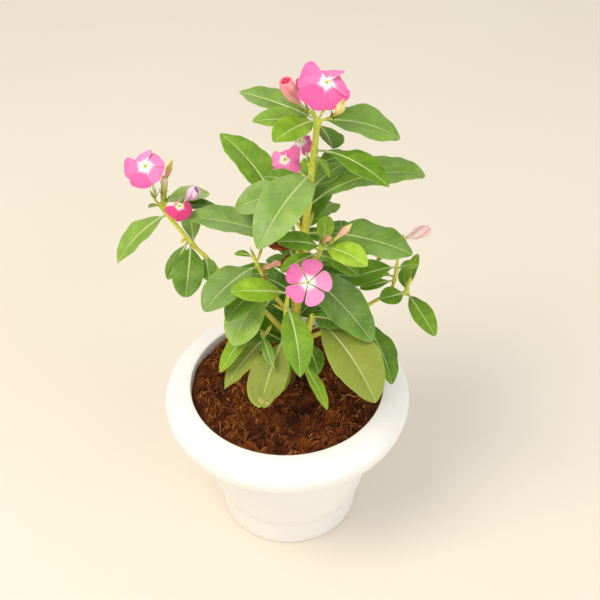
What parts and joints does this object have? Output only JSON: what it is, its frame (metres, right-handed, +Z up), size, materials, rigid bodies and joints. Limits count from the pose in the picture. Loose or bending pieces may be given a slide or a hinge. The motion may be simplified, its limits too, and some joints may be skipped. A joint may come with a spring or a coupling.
{
  "type": "potted madagascar periwinkle",
  "caption": "Small branching periwinkle bush with glossy oval leaves, pink flowers and twisted buds, growing in a white tapered pot with a wide rolled rim.",
  "frame": {"origin": "middle of the pot's flat bottom, where it rests", "axes": "+Z up, -Y towards the side that faces the viewer, +X to the viewer's right"},
  "size_m": [0.2385, 0.2, 0.4343],
  "materials": {
    "pot_plastic": "smooth moulded white plastic with a soft gloss",
    "potting_mix": "rough moist coir fibre and bark",
    "leaf": "waxy leaf with a soft gloss",
    "young_leaf": "thin fresh leaf with a soft gloss",
    "petal": "soft matt petal",
    "bud": "soft matt rolled petals"
  },
  "bodies": {
    "root": {"pot": "pot_plastic", "soil": "potting_mix", "main_shoot": "leaf", "upper_left_shoot": "leaf", "left_shoot": "leaf", "inner_left_shoot": "leaf", "right_shoot": "leaf", "right_twig": "young_leaf", "back_right_shoot": "leaf", "centre_shoot": "young_leaf", "front_shoot": "leaf", "low_shoot": "leaf", "side_shoot": "leaf", "back_shoot": "leaf", "bloom_top": "petal", "bloom_front": "petal", "bloom_left": "petal", "bloom_back_upper": "petal", "bloom_back_lower": "petal", "bloom_left_small": "petal", "bud_top_rolled": "bud", "bud_top_dark": "bud", "bud_top_right": "bud", "bud_left_tall": "bud", "bud_left_white": "bud", "bud_left_lilac": "bud", "bud_centre_long": "bud", "bud_centre_short": "bud", "bud_right_far": "bud"}
  },
  "joints": []
}
